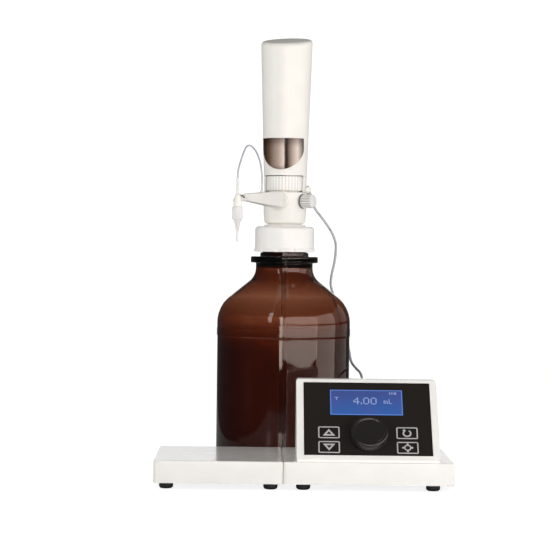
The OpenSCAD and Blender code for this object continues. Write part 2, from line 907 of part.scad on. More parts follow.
module cable_gland() {
    color(grey) difference() {
        along(gland_from, gland_to)
            cylinder(r1 = gland_r[0], r2 = gland_r[1], h = norm(gland_to - gland_from));
        at_bottle() rod(block_r + 0.35, [head_skirt_z - 20, front_bottom_z]);
    }
}

module signal_cable() {
    color(grey) cord(cable_route, cable_r);
}

// The plug's frame: +z runs out of the console's rear wall, from the socket's flange
module at_socket(dx) {
    translate([socket_at[0] + dx, console_rear_y, socket_at[1]]) rotate([-90, 0, 0]) children();
}

module cable_plug() {
    back = cable_route[len(cable_route) - 1][1] - console_rear_y;
    color(grey) at_socket(0) {
        rod(plug_body[0], [socket_flange[1], socket_flange[1] + plug_body[1]]);
        translate([0, 0, socket_flange[1] + plug_body[1]])
            cylinder(r1 = plug_boot[0], r2 = plug_boot[1],
                     h = back - socket_flange[1] - plug_body[1]);
    }
}

module rear_sockets() {
    color(black) {
        at_socket(0) {
            rod(signal_socket_r, [-socket_depth, 0]);
            rod(socket_flange[0], [0, socket_flange[1]]);
        }
        at_socket(power_dx) difference() {
            union() {
                rod(power_socket_r, [-socket_depth, 0]);
                rod(power_socket_r + 1.4, [0, socket_flange[1]]);
            }
            rod(power_bore_r, [1 - socket_depth, 2]);
        }
    }
}

// --- console ---

function console_side() = [
    [console_y, base_top], [console_y, lip_z], slope_top,
    [console_rear_y - rear_chamfer, slope_top[1]],
    [console_rear_y, slope_top[1] - rear_chamfer], [console_rear_y, base_top]
];

// The inside, a wall's thickness in from each face and open below
function console_inside() =
    let (w = case_wall,
         v0 = w * (1 - cos(slope_lean)) / sin(slope_lean),
         v1 = (slope_top[1] - w - lip_z + w * slope_out[1]) / slope_up[1])
        [[console_y + w, base_top - 1],
         [console_y, lip_z] + v0 * slope_up - w * slope_out,
         [console_y, lip_z] + v1 * slope_up - w * slope_out,
         [console_rear_y - rear_chamfer - 0.4 * w, slope_top[1] - w],
         [console_rear_y - w, slope_top[1] - rear_chamfer - 0.4 * w],
         [console_rear_y - w, base_top - 1]];

module side_extrusion(w) {
    translate([console_x, 0, 0]) rotate([90, 0, 90]) linear_extrude(w, center = true) children();
}

module panel_slab(grow, z) {
    translate([0, panel_v + panel[1] / 2, z[0]]) linear_extrude(z[1] - z[0])
        square([panel[0] + 2 * grow, panel[1] + 2 * grow], center = true);
}

module console_shell() {
    color(white) difference() {
        intersection() {
            side_extrusion(console_w) polygon(console_side());
            translate([console_x, console_rear_y + 1, base_top]) rotate([90, 0, 0])
                linear_extrude(base_d)
                    arch_top(console_w, slope_top[1] - base_top, console_corner_r);
            translate([console_x, (console_y + console_rear_y) / 2, 0]) linear_extrude(200)
                rounded(console_w, console_rear_y - console_y, console_corner_r);
        }
        side_extrusion(console_w - 2 * case_wall) polygon(console_inside());
        at_slope() {
            panel_slab(panel_gap, [-panel[2], 1]);
            panel_slab(-panel_ledge, [-8, 0]);
        }
        at_socket(0) rod(signal_socket_r + 0.05, [-case_wall - 1, 1]);
        at_socket(power_dx) rod(power_socket_r + 0.05, [-case_wall - 1, 1]);
    }
}

module at_display(z) {
    translate([display_at[0], display_at[1] + display[1] / 2, z]) children();
}

module control_panel() {
    color(black) at_slope() difference() {
        union() {
            panel_slab(0, [-panel[2], 0]);
            for (sx = [-1, 1], v = [stud_at[1], stud_at[2]])
                translate([sx * stud_at[0], v, board_w + console_pcb[2]])
                    cylinder(r = stud_r, h = -board_w - console_pcb[2] - 1);
        }
        at_display(-5) linear_extrude(10)
            square([display[0] + 2 * display_bezel, display[1] + 2 * display_bezel], center = true);
        for (sx = [-1, 1], v = key_v)
            translate([sx * key_x, v, -5]) linear_extrude(10)
                rounded(key[0] + 2 * key_gap, key[1] + 2 * key_gap, key_corner + key_gap);
        translate([knob_at[0], knob_at[1], -5]) cylinder(r = bushing_r + 0.2, h = 10);
    }
}

module display_lens() {
    color(blue) at_slope() at_display(-panel[2] + 0.2) linear_extrude(panel[2] - 0.3)
        square(display, center = true);
}

module display_module() {
    color(steel) at_slope() at_display(-module_drop)
        linear_extrude(module_size[2]) square([module_size[0], module_size[1]], center = true);
}

module one_key(sx, v) {
    color(black) at_slope() translate([sx * key_x, v, key_proud - key_t]) {
        linear_extrude(key_t) rounded(key[0], key[1], key_corner);
        linear_extrude(key_lip[1])
            rounded(key[0] + 2 * key_lip[0], key[1] + 2 * key_lip[0], key_corner);
    }
}

module key_up() { one_key(-1, key_v[1]); }
module key_down() { one_key(-1, key_v[0]); }
module key_clear() { one_key(1, key_v[1]); }
module key_select() { one_key(1, key_v[0]); }

module key_switches() {
    face = board_w + console_pcb[2];
    color(black) at_slope() for (sx = [-1, 1], v = key_v)
        translate([sx * key_x, v, face]) {
            linear_extrude(switch_box[2]) square([switch_box[0], switch_box[1]], center = true);
            translate([0, 0, switch_box[2]]) cylinder(r = switch_pin[0], h = switch_pin[1]);
        }
}

module console_board() {
    color(green) at_slope() translate([0, pcb_v + console_pcb[1] / 2, board_w])
        linear_extrude(console_pcb[2]) square([console_pcb[0], console_pcb[1]], center = true);
}

module at_knob() {
    at_slope() translate([knob_at[0], knob_at[1], 0]) children();
}

module encoder() {
    face = board_w + console_pcb[2];
    color(steel) at_knob() difference() {
        union() {
            translate([0, 0, face]) linear_extrude(encoder_box[2])
                square([encoder_box[0], encoder_box[1]], center = true);
            rod(bushing_r, [face + encoder_box[2] - 0.5, -0.1]);
        }
        rod(shaft_r + 0.05, [shaft_w[0] - 0.1, 1]);
    }
}

module encoder_shaft() {
    color(steel) at_knob() rod(shaft_r, shaft_w);
}

module console_knob() {
    color(black) at_knob() difference() {
        intersection() {
            rotate_extrude() polygon([
                [0, knob_lift], [knob_r, knob_lift], [knob_r, knob_lift + 1],
                [knob_face_r + 0.5, knob_h - 0.9], [knob_face_r - 0.6, knob_h],
                [knob_face_r - 1.4, knob_h], [knob_face_r - 2.6, knob_h - knob_dish],
                [0, knob_h - knob_dish]]);
            linear_extrude(knob_h + 1) polygon(flute_ring(knob_flutes, knob_r, flute_depth));
        }
        rod(shaft_r + 0.02, [knob_lift - 1, shaft_w[1]]);
    }
}

// --- base modules ---

module base_shell(x, w) {
    translate([x, base_y, foot_h]) difference() {
        soft_block(w, base_d, base_h, base_corner_r, base_edge_r);
        difference() {
            translate([0, 0, -1]) linear_extrude(base_h - case_wall + 1)
                rounded(w - 2 * case_wall, base_d - 2 * case_wall, base_corner_r / 2);
            at_posts(w) translate([0, 0, plate_t]) cylinder(r = post_r, h = base_h);
        }
        at_posts(w) translate([0, 0, 1]) cylinder(r = base_screw[0] + 0.03, h = base_screw[1]);
    }
}

module at_posts(w) {
    for (sx = [-1, 1], sy = [-1, 1])
        translate([sx * (w / 2 - post_inset[0]), sy * (base_d / 2 - post_inset[1]), 0]) children();
}

module base_plate(x, w) {
    translate([x, base_y, foot_h]) difference() {
        linear_extrude(plate_t) rounded(w - 2 * (case_wall + plate_gap),
            base_d - 2 * (case_wall + plate_gap), base_corner_r / 2);
        at_posts(w) translate([0, 0, -1]) cylinder(r = base_screw[0] + 0.3, h = plate_t + 2);
    }
}

module console_base() { color(white) base_shell(console_base_x, console_base_w); }
module console_base_plate() { color(steel) base_plate(console_base_x, console_base_w); }
module stirrer_base() { color(white) base_shell(stirrer_x, stirrer_w); }
module stirrer_base_plate() { color(steel) base_plate(stirrer_x, stirrer_w); }

module base_screws() {
    color(steel) for (m = [[stirrer_x, stirrer_w], [console_base_x, console_base_w]])
        translate([m[0], base_y, foot_h]) at_posts(m[1]) screw(base_screw);
}

module rubber_feet() {
    color(rubber_black)
        for (m = [[stirrer_x, stirrer_w, stirrer_foot_inset],
                  [console_base_x, console_base_w, console_foot_inset]],
             sx = [-1, 1], sy = [-1, 1])
            translate([m[0] + sx * (m[1] / 2 - m[2]), base_y + sy * (base_d / 2 - foot_inset_y), 0])
                rotate_extrude() polygon(concat(
                    [[0, 0]],
                    arc([foot_r - foot_edge_r, foot_edge_r], foot_edge_r, -90, 0, 6),
                    [[foot_r, foot_h], [0, foot_h]]));
}

module corner_screws() {
    color(steel) for (sx = [-1, 1])
        translate([console_x + sx * corner_screw[0], front_y + corner_screw[1], base_top])
            cylinder(r = corner_screw[2], h = corner_screw[3]);
}

module at_stirrer() {
    translate([stirrer_x, base_y, foot_h + plate_t]) children();
}

module stirrer_motor() {
    color(steel) at_stirrer() difference() {
        cylinder(r = motor_r, h = motor_h);
        rod(stirrer_shaft_r + 0.05, [2, motor_h + 1]);
    }
}

module magnet_rotor() {
    color(grey) at_stirrer() difference() {
        union() {
            rod(stirrer_shaft_r, [2.2, motor_h + rotor_gap + 1]);
            rod(rotor_r, [motor_h + rotor_gap, motor_h + rotor_gap + rotor_h]);
        }
        magnets(0.02);
    }
}

module magnets(grow) {
    z = motor_h + rotor_gap + 1.4;
    for (sx = [-1, 1]) translate([sx * magnet_arm, 0, 0])
        rod(magnet_r + grow, [z, z + 3 + 50 * grow]);
}

module stirring_magnets() {
    color(steel) at_stirrer() magnets(0);
}

amber_bottle();
bottle_nut();
neck_seal();
suction_tube();
suction_extension();
valve_block();
inlet_valve();
inlet_ball();
outlet_ball();
valve_plug();
valve_knob();
discharge_arm();
tip_holder();
dosing_tip();
tube_fittings();
delivery_tube();
coupling_ring();
front_housing();
rear_housing();
top_cap();
window();
housing_screws();
glass_cylinder();
cylinder_holder();
piston();
piston_seal();
piston_rod();
drive_nut();
lead_screw();
drive_motor();
drive_frame();
guide_rods();
head_board();
cable_gland();
signal_cable();
cable_plug();
console_shell();
control_panel();
display_lens();
display_module();
console_knob();
encoder();
encoder_shaft();
key_up();
key_down();
key_clear();
key_select();
key_switches();
console_board();
rear_sockets();
corner_screws();
console_base();
console_base_plate();
stirrer_base();
stirrer_base_plate();
stirrer_motor();
magnet_rotor();
stirring_magnets();
rubber_feet();
base_screws();
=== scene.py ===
"""Looks of the digital burette: a motor burette head on an amber bottle, its desk console
and a flat stirrer. Every length is in millimetres until a piece is placed."""

import json
import math

import bmesh
import bpy
from mathutils import Matrix, Vector


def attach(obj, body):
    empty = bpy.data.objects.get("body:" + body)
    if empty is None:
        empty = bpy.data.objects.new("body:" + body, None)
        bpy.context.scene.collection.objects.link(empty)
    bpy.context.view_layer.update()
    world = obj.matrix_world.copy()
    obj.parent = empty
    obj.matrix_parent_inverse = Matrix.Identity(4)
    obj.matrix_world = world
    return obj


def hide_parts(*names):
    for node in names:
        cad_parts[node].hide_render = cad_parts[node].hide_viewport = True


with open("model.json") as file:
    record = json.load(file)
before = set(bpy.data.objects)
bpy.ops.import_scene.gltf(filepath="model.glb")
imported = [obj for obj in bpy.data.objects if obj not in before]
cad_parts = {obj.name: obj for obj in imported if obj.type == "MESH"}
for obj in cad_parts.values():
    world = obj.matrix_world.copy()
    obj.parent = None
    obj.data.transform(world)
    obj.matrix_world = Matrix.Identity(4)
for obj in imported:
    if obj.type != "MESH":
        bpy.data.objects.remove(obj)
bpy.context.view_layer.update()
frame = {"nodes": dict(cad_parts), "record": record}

MM = 0.001

# ---------------------------------------------------------------- places

BODY = "apparatus"
BOTTLE_AXIS = Vector((-16.6, 63.6, 0))

# Turns about the bottle's axis, and the lean of the console's face, in degrees
HEAD_TURN = 14
ARM_TURN = 18
VALVE_TURN = 55
SLOPE_LEAN = 43

# Heights of the middles of the valve knob, the boss for the arm, the arm and its elbow
VALVE_Z = 251
BOSS_Z = 251.4
ARM_Z = 252.4
ELBOW_Z = 251.6

# The tip's distance from the bottle's axis, and the point where the console's face starts
TIP_OUT = 141
SLOPE_FOOT = (55.5, -124.5, 26.9)


def rotation(axis, degrees):
    return Matrix.Rotation(math.radians(degrees), 4, axis)


def placed(origin, turn_z=0, turn_x=0):
    """A frame at a point, turned about z and then about its own x, in degrees."""
    return Matrix.Translation(Vector(origin) * MM) @ rotation("Z", turn_z) @ rotation("X", turn_x)


AT_TABLE = placed((0, 0, 0))
AT_BOTTLE = placed(BOTTLE_AXIS)
AT_HEAD = placed(BOTTLE_AXIS, -HEAD_TURN)
AT_ARM = placed(BOTTLE_AXIS, -ARM_TURN)
AT_SLOPE = placed(SLOPE_FOOT, 0, 90 - SLOPE_LEAN)


def outward(turn, z):
    """In millimetres, a frame whose z runs out from the bottle's axis at a height and a turn."""
    return Matrix.Translation((0, 0, z)) @ rotation("Z", turn) @ rotation("X", 90)


def on_slope(x, up, out):
    """The frame of the console's face, moved across it, up it and out of it."""
    return AT_SLOPE @ Matrix.Translation(Vector((x, up, out)) * MM)


# ---------------------------------------------------------------- camera

CAMERA_AT = (-43.3, -1926.5, 219.2)
CAMERA_LENS = 137.8
CAMERA_YAW, CAMERA_PITCH, CAMERA_ROLL = -0.52, -1.09, 0.69


def make_camera():
    data = bpy.data.cameras.new("camera")
    data.sensor_width = 36
    data.lens = CAMERA_LENS
    data.clip_end = 50
    camera = bpy.data.objects.new("camera", data)
    bpy.context.scene.collection.objects.link(camera)
    camera.matrix_world = (
        Matrix.Translation(Vector(CAMERA_AT) * MM)
        @ rotation("Z", CAMERA_YAW)
        @ rotation("X", 90 + CAMERA_PITCH)
        @ rotation("Z", CAMERA_ROLL)
    )
    bpy.context.scene.camera = camera


make_camera()


# ---------------------------------------------------------------- shaders


class Value:
    """A socket that adds, multiplies and divides as a number does, and is subtracted from one."""

    def __init__(self, shader, socket):
        self.shader, self.socket = shader, socket

    def _math(self, operation, a, b):
        return self.shader.node("Math", {"operation": operation}, {0: a, 1: b})

    def __add__(self, other):
        return self._math("ADD", self, other)

    def __rsub__(self, other):
        return self._math("SUBTRACT", other, self)

    def __mul__(self, other):
        return self._math("MULTIPLY", self, other)

    def __truediv__(self, other):
        return self._math("DIVIDE", self, other)


class Shader:
    """A material, or a given node tree, whose nodes are made by one call each."""

    def __init__(self, name, tree=None):
        if tree is None:
            self.material = bpy.data.materials.new(name)
            self.material.use_nodes = True
            tree = self.material.node_tree
        self.tree = tree
        self.tree.nodes.clear()

    def node(self, kind, settings=None, inputs=None, output=0):
        node = self.tree.nodes.new("ShaderNode" + kind)
        for key, value in (settings or {}).items():
            if key == "stops":
                ramp = node.color_ramp
                while len(ramp.elements) < len(value):
                    ramp.elements.new(1)
                for element, (place, colour) in zip(ramp.elements, value):
                    element.position, element.color = place, colour
            else:
                setattr(node, key, value)
        for key, value in (inputs or {}).items():
            if isinstance(value, Value):
                self.tree.links.new(value.socket, node.inputs[key])
            else:
                node.inputs[key].default_value = value
        if node.outputs:
            return Value(self, node.outputs[output])

    def place(self):
        return self.node("TexCoord", output="Object")

    def height(self):
        return self.node("SeparateXYZ", None, {0: self.place()}, output=2) / MM

    def across(self, origin, turn, axis):
        """The object coordinate along one axis of a turned frame at a point in millimetres."""
        moved = self.node(
            "Mapping",
            {"vector_type": "TEXTURE"},
            {
                "Vector": self.place(),
                "Location": tuple(v * MM for v in origin),
                "Rotation": tuple(math.radians(a) for a in turn),
            },
        )
        return self.node("SeparateXYZ", None, {0: moved}, output=axis) / MM

    def noise(self, scale, detail=2):
        """Noise with its grain about 1 / scale metres across."""
        return self.node("TexNoise", None, {"Vector": self.place(), "Scale": scale, "Detail": detail})

    def varied(self, middle, swing, scale, detail=2):
        """A value that wanders over the surface, by up to half its swing either way."""
        return self.noise(scale, detail) * swing + (middle - swing / 2)

    def step(self, value, low, high, to_low=0.0, to_high=1.0):
        """A smooth ramp from to_low at low to to_high at high."""
        return self.node(
            "MapRange",
            {"interpolation_type": "SMOOTHSTEP"},
            {"Value": value, "From Min": low, "From Max": high, "To Min": to_low, "To Max": to_high},
        )

    def ramp(self, value, stops):
        return self.node("ValToRGB", {"stops": stops}, {0: value})

    def mix(self, factor, a, b):
        return self.node("Mix", {"data_type": "RGBA"}, {0: factor, 6: a, 7: b}, output=2)

    def bump(self, height, strength, distance):
        inputs = {"Strength": strength, "Distance": distance, "Height": height}
        return self.node("Bump", None, inputs)

    def principled(self, inputs):
        return self.node("BsdfPrincipled", None, inputs)

    def glow(self, colour, strength):
        return self.node("Emission", None, {"Color": colour, "Strength": strength})

    def ray(self, kind):
        """1 for the rays of one kind, such as those of the camera, and 0 for the others."""
        return self.node("LightPath", output=f"Is {kind} Ray")

    def surface(self, surface, **inside):
        """Ends the material with its surface, and with its Volume where one is given."""
        self.node("OutputMaterial", None, {"Surface": surface, **inside})
        return self.material


def rgba(r, g, b):
    return (r, g, b, 1.0)


def toned(colour, share=1.0):
    """A share of a colour."""
    return rgba(*(c * share for c in colour[:3]))


def screen(r, g, b):
    """The linear colour of a screen colour given in 0 to 255."""
    return rgba(*((c / 255) ** 2.2 for c in (r, g, b)))


# ---------------------------------------------------------------- materials

# Flutes round the coupling ring and round the valve's knob
RING_FLUTES = 36
GRIP_FLUTES = 16


def moulded(name, colour, rough, coat=0.0, grain=0.012, shine=0.5):
    """Injection-moulded plastic: fine orange peel, and a slow drift of tone and gloss."""
    shader = Shader(name)
    drift = shader.step(shader.noise(38), 0.35, 0.65)
    return shader.surface(
        shader.principled(
            {
                "Base Color": shader.mix(drift, toned(colour, 0.97), toned(colour)),
                "Roughness": shader.varied(rough, 0.14, 140, 3),
                "Specular IOR Level": shine,
                "Coat Weight": coat,
                "Coat Roughness": 0.12,
                "Normal": shader.bump(shader.noise(2600), grain, 0.0004),
            }
        )
    )


def ribbed_with_painted_shade(name, colour, valley_shade, rough, count, origin, turn):
    """Moulded plastic with painted shade in its valleys round an axis, which are a little darker than
    its ribs.
    """
    shader = Shader(name)
    x, y = (shader.across(origin, turn, axis) for axis in (0, 1))
    around = shader.node("Math", {"operation": "ARCTAN2"}, {0: y, 1: x})
    wave = shader.node("Math", {"operation": "COSINE"}, {0: around * count})
    low = shader.step(wave, -0.2, 0.95)
    return shader.surface(
        shader.principled(
            {
                "Base Color": shader.mix(low, toned(colour), toned(colour, valley_shade)),
                "Roughness": shader.varied(rough, 0.14, 140, 3),
                "Normal": shader.bump(shader.noise(2600), 0.015, 0.0004),
            }
        )
    )


def milky(name, colour, rough, clear):
    """Milky plastic that lets some light through, more where its wall is thin."""
    shader = Shader(name)
    return shader.surface(
        shader.principled(
            {
                "Base Color": shader.mix(shader.noise(90), toned(colour, 0.95), toned(colour)),
                "Roughness": shader.varied(rough, 0.1, 200),
                "IOR": 1.4,
                "Transmission Weight": clear,
                "Subsurface Weight": 0.3,
                "Subsurface Radius": (0.004, 0.004, 0.004),
                "Normal": shader.bump(shader.noise(1500), 0.03, 0.0003),
            }
        )
    )


def metal(name, colour, rough):
    """Machined or plated metal: a fine grain, and a drift of tone and gloss."""
    shader = Shader(name)
    return shader.surface(
        shader.principled(
            {
                "Base Color": shader.mix(shader.noise(70), toned(colour, 0.86), toned(colour)),
                "Metallic": 1.0,
                "Roughness": shader.varied(rough, 0.2, 300),
                "Normal": shader.bump(shader.noise(900, 3), 0.05, 0.0002),
            }
        )
    )


def amber_glass():
    """Brown bottle glass: its own colour is in the wall, so the edges go nearly black."""
    shader = Shader("amber_glass")
    glass = shader.principled(
        {
            "Base Color": shader.mix(shader.noise(14), rgba(0.90, 0.87, 0.85), rgba(1, 0.98, 0.97)),
            "Roughness": shader.varied(0.025, 0.03, 60),
            "IOR": 1.5,
            "Transmission Weight": 1.0,
            "Normal": shader.bump(shader.noise(18), 0.09, 0.0015),
        }
    )
    brown = {"Color": rgba(0.53, 0.24, 0.04), "Density": 1000.0}
    return shader.surface(glass, Volume=shader.node("VolumeAbsorption", None, brown))


WINDOW_WIDTH = 39.2


def window_brown(level):
    """The pane's colour at a brightness of 0 to 255."""
    return screen(level, level - min(20, 0.24 * level), level - min(33, 0.38 * level))


def window_with_painted_reflections():
    """A brown-tinted pane with painted reflection in place of the piston and cylinder behind it: upright
    stripes of painted highlight and dark, and painted shade toward its top and foot.
    """
    shader = Shader("window_tint")
    dark, dim, pale, bright = (window_brown(level) for level in (34, 92, 175, 225))
    dark_reflection_stripe = screen(33, 19, 12)
    # Painted reflection: two broad painted highlights, left and right of a dark stripe, fade toward the
    # pane's darker edges.
    stops = [(0.04, dark), (0.2, dim), (0.45, pale), (0.575, bright), (0.61, dark_reflection_stripe)]
    stops += [(0.66, dark_reflection_stripe), (0.68, dim), (0.88, bright), (1, dark)]
    share = shader.across(BOTTLE_AXIS, (0, 0, -HEAD_TURN), 0) / WINDOW_WIDTH + 0.5
    painted_reflection_stripes = shader.ramp(share + shader.varied(0, 0.02, 160), stops)
    # Painted shade: the pane darkens toward its top and toward its foot, where the rim shades it.
    top = shader.step(shader.height(), 300, 309.5, 0, 0.55)
    foot = shader.step(shader.height(), 280, 286, 0.5, 0)
    stripes_with_painted_top_shade = shader.mix(top, painted_reflection_stripes, window_brown(30))
    return shader.surface(
        shader.principled(
            {
                "Base Color": shader.mix(foot, stripes_with_painted_top_shade, window_brown(60)),
                "Roughness": shader.varied(0.13, 0.1, 120),
                "Specular IOR Level": 0.2,
            }
        )
    )


def lit_display():
    """A backlit blue display: a slow change of blue down its height, with paler clouds."""
    shader = Shader("display_blue")
    up = shader.across(SLOPE_FOOT, (90 - SLOPE_LEAN, 0, 0), 1)
    blue = shader.mix(shader.step(up, 49, 78, 1, 0), screen(72, 88, 150), screen(60, 106, 182))
    clouds = shader.step(shader.noise(45), 0.4, 0.7, 0, 0.35)
    light = shader.glow(shader.mix(clouds, blue, screen(88, 94, 176)), 0.7)
    gloss = shader.principled(
        {"Base Color": rgba(0.01, 0.015, 0.05), "Roughness": 0.22, "Specular IOR Level": 0.3}
    )
    return shader.surface(shader.node("AddShader", None, {0: light, 1: gloss}))


def lit_mark(name, colour):
    """A mark that glows in its own colour, unevenly."""
    shader = Shader(name)
    tone = shader.mix(shader.noise(400), toned(colour, 0.9), colour)
    return shader.surface(shader.glow(tone, 1.0))


MILKY = milky("milky_plastic", (0.88, 0.86, 0.85), 0.30, 0.25)
STEEL = metal("steel", (0.62, 0.62, 0.64), 0.30)

# The finish of each slot
FINISHES = {
    "amber_glass": amber_glass(),
    "white_collar": moulded("warm_white", (0.87, 0.84, 0.81), 0.34, coat=0.1),
    "ivory_housing": moulded("ivory_plastic", (0.855, 0.825, 0.77), 0.36, coat=0.08),
    "fluoroplastic": milky("fluoroplastic", (0.84, 0.83, 0.81), 0.40, 0.1),
    "soft_seal": moulded("soft_seal", (0.55, 0.53, 0.50), 0.6),
    "dosing_plastic": MILKY,
    "thin_tube": moulded("thin_tube", (0.52, 0.51, 0.56), 0.25),
    "ceramic": moulded("ceramic", (0.88, 0.86, 0.82), 0.12),
    "window_tint": window_with_painted_reflections(),
    "clear_glass": MILKY,
    "steel": STEEL,
    "brass": metal("brass", (0.72, 0.53, 0.24), 0.32),
    "frame_metal": metal("frame_metal", (0.66, 0.66, 0.68), 0.4),
    "motor_black": moulded("motor_black", (0.03, 0.03, 0.03), 0.4),
    "circuit_board": moulded("circuit_board", (0.02, 0.13, 0.06), 0.35),
    "cable_grey": moulded("cable_sheath", (0.46, 0.46, 0.475), 0.38),
    "case_white": moulded("case_white", (0.925, 0.90, 0.86), 0.21, coat=0.3),
    "panel_black": moulded("panel_foil", (0.016, 0.013, 0.011), 0.42, shine=0.25),
    "key_black": moulded("key_cap", (0.012, 0.011, 0.010), 0.40, shine=0.25),
    "knob_black": moulded("knob_black", (0.016, 0.014, 0.013), 0.24, shine=0.7),
    "lens_blue": lit_display(),
    "black_plastic": moulded("black_plastic", (0.03, 0.03, 0.03), 0.45),
    "plate_steel": moulded("plate_grey", (0.42, 0.42, 0.43), 0.45),
    "magnet": STEEL,
    "foot_rubber": moulded("foot_rubber", (0.014, 0.014, 0.014), 0.2, coat=0.5, grain=0.02),
}

# Finishes of single pieces, in place of their slot's own
# The coupling ring's and the valve knob's flutes get painted shade in their valleys.
RING = ribbed_with_painted_shade("ring_white", (0.87, 0.84, 0.80), 0.80, 0.34, RING_FLUTES, BOTTLE_AXIS, (0, 0, 0))
VALVE_AT = BOTTLE_AXIS + Vector((0, 0, VALVE_Z))
VALVE_AXIS_TURN = (90, 0, VALVE_TURN)
GRIP = ribbed_with_painted_shade("grip_white", (0.85, 0.83, 0.80), 0.62, 0.34, GRIP_FLUTES, VALVE_AT, VALVE_AXIS_TURN)
# Dark grey for the tip's wire clip; the same grey is painted shade at the valve knob's root and in the
# notch above the tip's elbow.
GREY_CLIP_AND_PAINTED_SHADE = moulded("clip_grey_and_painted_shade", (0.19, 0.18, 0.165), 0.35)
MARK = moulded("key_marks", (0.52, 0.50, 0.48), 0.5)
DISPLAY_DOT = lit_mark("display_dots", screen(152, 168, 216))
DISPLAY_LINE = lit_mark("display_line", screen(110, 150, 226))


def paint_nodes():
    """Gives every CAD node the finish of its slot."""
    for row in frame["record"]["subparts"]:
        mesh = frame["nodes"][row["node"]].data
        mesh.materials.clear()
        mesh.materials.append(FINISHES[row["material_slot"]])


paint_nodes()


# ---------------------------------------------------------------- shapes


def finish_piece(name, bm, where, slot, replaced=(), body=BODY, material=None, sharp=32):
    """Turns a shape in millimetres into a piece of the object that rides on a body."""
    bmesh.ops.remove_doubles(bm, verts=bm.verts, dist=0.0005)
    bmesh.ops.recalc_face_normals(bm, faces=bm.faces)
    bm.transform(where @ Matrix.Scale(MM, 4))
    mesh = bpy.data.meshes.new(name)
    bm.to_mesh(mesh)
    bm.free()
    mesh.shade_smooth()
    mesh.set_sharp_from_angle(angle=math.radians(sharp))
    mesh.materials.append(material or FINISHES[slot])
    piece = bpy.data.objects.new(name, mesh)
    bpy.context.scene.collection.objects.link(piece)
    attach(piece, body)
    if replaced:
        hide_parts(*replaced)
    return piece


def rounded(corners, step=12):
    """An outline in which each corner given with a third number is rounded to that radius."""
    outline = []
    for i, corner in enumerate(corners):
        here = Vector(corner[:2])
        if len(corner) == 2:
            outline.append(here)
            continue
        back = (Vector(corners[i - 1][:2]) - here).normalized()
        on = (Vector(corners[(i + 1) % len(corners)][:2]) - here).normalized()
        half = back.angle(on) / 2
        centre = here + (back + on).normalized() * (corner[2] / math.sin(half))
        start = here + back * (corner[2] / math.tan(half)) - centre
        turn = math.pi - 2 * half
        if back.x * on.y - back.y * on.x > 0:
            turn = -turn
        count = max(2, math.ceil(abs(math.degrees(turn)) / step))
        outline += [centre + Matrix.Rotation(turn * k / count, 2) @ start for k in range(count + 1)]
    return outline


def turned(bm, outline, steps, at=None):
    """Turns an outline of radius and height about z; it is open where both ends are on the axis."""
    before = set(bm.verts)
    made = [bm.verts.new((r, 0, z)) for r, z in outline]
    ends = list(zip(made, made[1:]))
    if outline[0][0] > 0 or outline[-1][0] > 0:
        ends.append((made[-1], made[0]))
    edges = [bm.edges.new(pair) for pair in ends]
    bmesh.ops.spin(
        bm, geom=made + edges, cent=(0, 0, 0), axis=(0, 0, 1), angle=2 * math.pi, steps=steps,
        use_merge=True,
    )
    verts = [vert for vert in bm.verts if vert not in before]
    if at is not None:
        bmesh.ops.transform(bm, matrix=at, verts=verts)
    return verts


def fluted(verts, count, radius, depth, low, high):
    """Presses shallow valleys into the rim of a turned shape, between two heights."""
    rim = radius - 1.2
    for vert in verts:
        out = math.hypot(vert.co.x, vert.co.y)
        if out < rim or not low <= vert.co.z <= high:
            continue
        wave = 0.5 + 0.5 * math.cos(count * math.atan2(vert.co.y, vert.co.x))
        press = 1 - depth * wave**2 / out
        vert.co.x *= press
        vert.co.y *= press


def edges_of(verts):
    return list({edge for vert in verts for edge in vert.link_edges})


def bevelled(bm, geom, width, segments, affect="EDGES"):
    bmesh.ops.bevel(
        bm, geom=geom, offset=width, offset_type="OFFSET", segments=segments, profile=0.5,
        affect=affect, material=-1,
    )


def turn_verts(bm, verts, axis, degrees):
    bmesh.ops.rotate(bm, cent=(0, 0, 0), matrix=rotation(axis, degrees), verts=verts)


def box_between(bm, low, high):
    low, high = Vector(low), Vector(high)
    verts = bmesh.ops.create_cube(bm, size=1)["verts"]
    bmesh.ops.scale(bm, verts=verts, vec=high - low)
    bmesh.ops.translate(bm, verts=verts, vec=(low + high) / 2)
    return verts


def square(bm, side):
    return bmesh.ops.create_grid(bm, x_segments=1, y_segments=1, size=side / 2)["verts"]


def flat_shape(width, depth, corner, at=(0, 0, 0)):
    """A new shape of one flat face with rounded corners."""
    bm = bmesh.new()
    verts = square(bm, 1)
    bmesh.ops.scale(bm, verts=verts, vec=(width, depth, 1))
    bevelled(bm, verts, corner, 5, "VERTICES")
    bmesh.ops.translate(bm, verts=bm.verts, vec=at)
    return bm


def to_frame(bm, line):
    """Keeps only a line's width along the edge of a flat shape."""
    inside = bm.faces[:]
    bmesh.ops.inset_region(
        bm, faces=inside, thickness=line, use_even_offset=True, use_boundary=True
    )
    bmesh.ops.delete(bm, geom=inside, context="FACES")
    return bm


def thickened(bm, height):
    """Pulls flat faces up by a height, with walls round them."""
    made = bmesh.ops.extrude_face_region(bm, geom=bm.faces[:], use_keep_orig=True)["geom"]
    verts = [item for item in made if isinstance(item, bmesh.types.BMVert)]
    bmesh.ops.translate(bm, verts=verts, vec=(0, 0, height))


